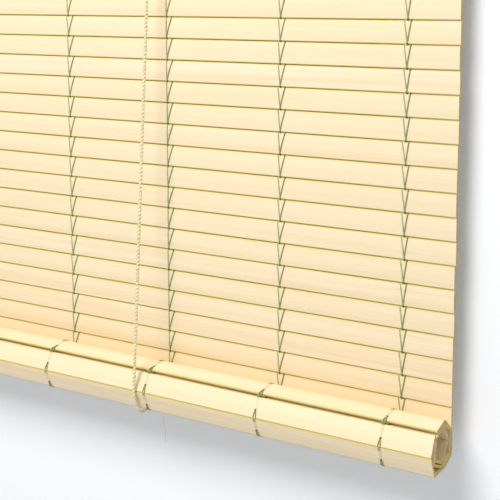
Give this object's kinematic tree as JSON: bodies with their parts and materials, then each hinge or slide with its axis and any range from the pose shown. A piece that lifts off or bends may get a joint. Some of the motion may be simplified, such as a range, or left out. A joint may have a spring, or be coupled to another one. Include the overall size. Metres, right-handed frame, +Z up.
{
  "type": "roll-up blind",
  "caption": "Roll-up blind of thin wooden slats woven on threads, its lower end wound into a roll that hangs in lift cords from a headrail with pulleys, a cord lock and a tassel.",
  "frame": {"origin": "on the wall plane behind the blind, midway between the two wall brackets, at the height of their wall screw holes", "axes": "+X runs along the slats to the right as seen from the room, +Y points into the wall, +Z is up; the slat sheet hangs in the plane y = -0.021 m"},
  "size_m": [0.9638, 0.0729, 0.5053],
  "materials": {
    "slats": "pale basswood slats, thin matt lacquer",
    "rail": "planed wood, thin matt lacquer",
    "cords": "twisted jute and cotton cord",
    "brackets": "enamelled bent steel",
    "pulley_housings": "enamelled pressed steel",
    "fixings": "zinc-plated steel",
    "wheels": "moulded nylon",
    "lock": "moulded cream plastic",
    "tassel_wood": "turned hardwood, satin lacquer"
  },
  "bodies": {
    "headrail_body": {"headrail": "rail", "bracket_left": "brackets", "bracket_right": "brackets", "bracket_screw_left": "fixings", "bracket_screw_right": "fixings", "pulley_housing_left": "pulley_housings", "pulley_housing_right": "pulley_housings", "pulley_axle_left": "fixings", "pulley_axle_right": "fixings", "pulley_screw_left": "fixings", "pulley_screw_right": "fixings", "cord_lock_housing": "lock", "cord_lock_screw": "fixings", "cord_lock_roller_pin": "fixings", "cord_lock_pawl_pin": "fixings", "slat_01": "slats", "slat_02": "slats", "slat_03": "slats", "lift_cord_left": "cords", "lift_cord_right": "cords", "pull_cord_left": "cords", "pull_cord_right": "cords"},
    "slat_04_body": {"slat_04": "slats"},
    "slat_05_body": {"slat_05": "slats"},
    "slat_06_body": {"slat_06": "slats"},
    "slat_07_body": {"slat_07": "slats"},
    "slat_08_body": {"slat_08": "slats"},
    "slat_09_body": {"slat_09": "slats"},
    "slat_10_body": {"slat_10": "slats"},
    "slat_11_body": {"slat_11": "slats"},
    "slat_12_body": {"slat_12": "slats"},
    "slat_13_body": {"slat_13": "slats"},
    "slat_14_body": {"slat_14": "slats"},
    "slat_15_body": {"slat_15": "slats"},
    "slat_16_body": {"slat_16": "slats"},
    "slat_17_body": {"slat_17": "slats"},
    "slat_18_body": {"slat_18": "slats"},
    "slat_19_body": {"slat_19": "slats"},
    "slat_20_body": {"slat_20": "slats"},
    "slat_21_body": {"slat_21": "slats"},
    "roll_body": {"roll_slat_01": "slats", "roll_slat_02": "slats", "roll_slat_03": "slats", "roll_slat_04": "slats", "roll_slat_05": "slats", "roll_slat_06": "slats", "roll_slat_07": "slats", "roll_slat_08": "slats", "roll_slat_09": "slats", "roll_slat_10": "slats", "roll_slat_11": "slats", "roll_slat_12": "slats", "roll_slat_13": "slats", "roll_slat_14": "slats", "roll_slat_15": "slats"},
    "pulley_left_body": {"pulley_wheel_left": "wheels"},
    "pulley_right_body": {"pulley_wheel_right": "wheels"},
    "lock_roller_body": {"cord_lock_roller": "wheels"},
    "pawl_body": {"cord_lock_pawl": "lock"},
    "tassel_body": {"tassel": "tassel_wood"}
  },
  "joints": [
    {"name": "slat_04_bend", "type": "hinge", "parent": "headrail_body", "child": "slat_04_body", "pos_m": [0, -0.021, -0.104], "axis": [-1, 0, 0], "range_deg": [0, 32], "stiffness_Nm_per_rad": 0.1, "springref_deg": 50.71},
    {"name": "slat_05_bend", "type": "hinge", "parent": "slat_04_body", "child": "slat_05_body", "pos_m": [0, -0.021, -0.124], "axis": [-1, 0, 0], "range_deg": [0, 21], "stiffness_Nm_per_rad": 0.1, "springref_deg": 50.71},
    {"name": "slat_06_bend", "type": "hinge", "parent": "slat_05_body", "child": "slat_06_body", "pos_m": [0, -0.021, -0.144], "axis": [-1, 0, 0], "range_deg": [0, 30.5], "stiffness_Nm_per_rad": 0.1, "springref_deg": 50.71},
    {"name": "slat_07_bend", "type": "hinge", "parent": "slat_06_body", "child": "slat_07_body", "pos_m": [0, -0.021, -0.164], "axis": [-1, 0, 0], "range_deg": [0, 33.5], "stiffness_Nm_per_rad": 0.1, "springref_deg": 50.71},
    {"name": "slat_08_bend", "type": "hinge", "parent": "slat_07_body", "child": "slat_08_body", "pos_m": [0, -0.021, -0.184], "axis": [-1, 0, 0], "range_deg": [0, 34], "stiffness_Nm_per_rad": 0.1, "springref_deg": 50.71},
    {"name": "slat_09_bend", "type": "hinge", "parent": "slat_08_body", "child": "slat_09_body", "pos_m": [0, -0.021, -0.204], "axis": [-1, 0, 0], "range_deg": [0, 34.5], "stiffness_Nm_per_rad": 0.1, "springref_deg": 50.71},
    {"name": "slat_10_bend", "type": "hinge", "parent": "slat_09_body", "child": "slat_10_body", "pos_m": [0, -0.021, -0.224], "axis": [-1, 0, 0], "range_deg": [0, 35.5], "stiffness_Nm_per_rad": 0.1, "springref_deg": 50.71},
    {"name": "slat_11_bend", "type": "hinge", "parent": "slat_10_body", "child": "slat_11_body", "pos_m": [0, -0.021, -0.244], "axis": [-1, 0, 0], "range_deg": [0, 30], "stiffness_Nm_per_rad": 0.1, "springref_deg": 50.71},
    {"name": "slat_12_bend", "type": "hinge", "parent": "slat_11_body", "child": "slat_12_body", "pos_m": [0, -0.021, -0.264], "axis": [-1, 0, 0], "range_deg": [0, 26], "stiffness_Nm_per_rad": 0.1, "springref_deg": 50.71},
    {"name": "slat_13_bend", "type": "hinge", "parent": "slat_12_body", "child": "slat_13_body", "pos_m": [0, -0.021, -0.284], "axis": [-1, 0, 0], "range_deg": [0, 37.5], "stiffness_Nm_per_rad": 0.1, "springref_deg": 50.71},
    {"name": "slat_14_bend", "type": "hinge", "parent": "slat_13_body", "child": "slat_14_body", "pos_m": [0, -0.021, -0.304], "axis": [-1, 0, 0], "range_deg": [0, 38.5], "stiffness_Nm_per_rad": 0.1, "springref_deg": 50.71},
    {"name": "slat_15_bend", "type": "hinge", "parent": "slat_14_body", "child": "slat_15_body", "pos_m": [0, -0.021, -0.324], "axis": [-1, 0, 0], "range_deg": [0, 39.5], "stiffness_Nm_per_rad": 0.1, "springref_deg": 50.71},
    {"name": "slat_16_bend", "type": "hinge", "parent": "slat_15_body", "child": "slat_16_body", "pos_m": [0, -0.021, -0.344], "axis": [-1, 0, 0], "range_deg": [0, 41], "stiffness_Nm_per_rad": 0.1, "springref_deg": 50.71},
    {"name": "slat_17_bend", "type": "hinge", "parent": "slat_16_body", "child": "slat_17_body", "pos_m": [0, -0.021, -0.364], "axis": [-1, 0, 0], "range_deg": [0, 24], "stiffness_Nm_per_rad": 0.1, "springref_deg": 50.71},
    {"name": "slat_18_bend", "type": "hinge", "parent": "slat_17_body", "child": "slat_18_body", "pos_m": [0, -0.021, -0.384], "axis": [-1, 0, 0], "range_deg": [0, 36], "stiffness_Nm_per_rad": 0.1, "springref_deg": 50.71},
    {"name": "slat_19_bend", "type": "hinge", "parent": "slat_18_body", "child": "slat_19_body", "pos_m": [0, -0.021, -0.404], "axis": [-1, 0, 0], "range_deg": [0, 44], "stiffness_Nm_per_rad": 0.1, "springref_deg": 50.71},
    {"name": "slat_20_bend", "type": "hinge", "parent": "slat_19_body", "child": "slat_20_body", "pos_m": [0, -0.021, -0.424], "axis": [-1, 0, 0], "range_deg": [0, 46], "stiffness_Nm_per_rad": 0.1, "springref_deg": 50.71},
    {"name": "slat_21_bend", "type": "hinge", "parent": "slat_20_body", "child": "slat_21_body", "pos_m": [0, -0.021, -0.444], "axis": [-1, 0, 0], "range_deg": [0, 47.5], "stiffness_Nm_per_rad": 0.1, "springref_deg": 50.71},
    {"name": "roll_bend", "type": "hinge", "parent": "slat_21_body", "child": "roll_body", "pos_m": [0, -0.021, -0.464], "axis": [-1, 0, 0], "range_deg": [0, 6.5], "stiffness_Nm_per_rad": 0.1, "springref_deg": 50.71, "deforming": ["lift_cord_left", "lift_cord_right"]},
    {"name": "pulley_left_spin", "type": "hinge", "parent": "headrail_body", "child": "pulley_left_body", "pos_m": [-0.1765, -0.0372, -0.031], "axis": [0, 1, 0], "continuous": true},
    {"name": "pulley_right_spin", "type": "hinge", "parent": "headrail_body", "child": "pulley_right_body", "pos_m": [0.1575, -0.0372, -0.026], "axis": [0, 1, 0], "continuous": true},
    {"name": "lock_roller_spin", "type": "hinge", "parent": "headrail_body", "child": "lock_roller_body", "pos_m": [-0.4631, -0.0392, -0.028], "axis": [0, 1, 0], "continuous": true},
    {"name": "pawl_release", "type": "hinge", "parent": "headrail_body", "child": "pawl_body", "pos_m": [-0.4616, -0.0392, -0.048], "axis": [0, -1, 0], "range_deg": [0, 30]},
    {"name": "tassel_travel", "type": "slide", "parent": "headrail_body", "child": "tassel_body", "axis": [0, 0, 1], "range_m": [0, 0.34], "deforming": ["pull_cord_left", "pull_cord_right"]}
  ]
}
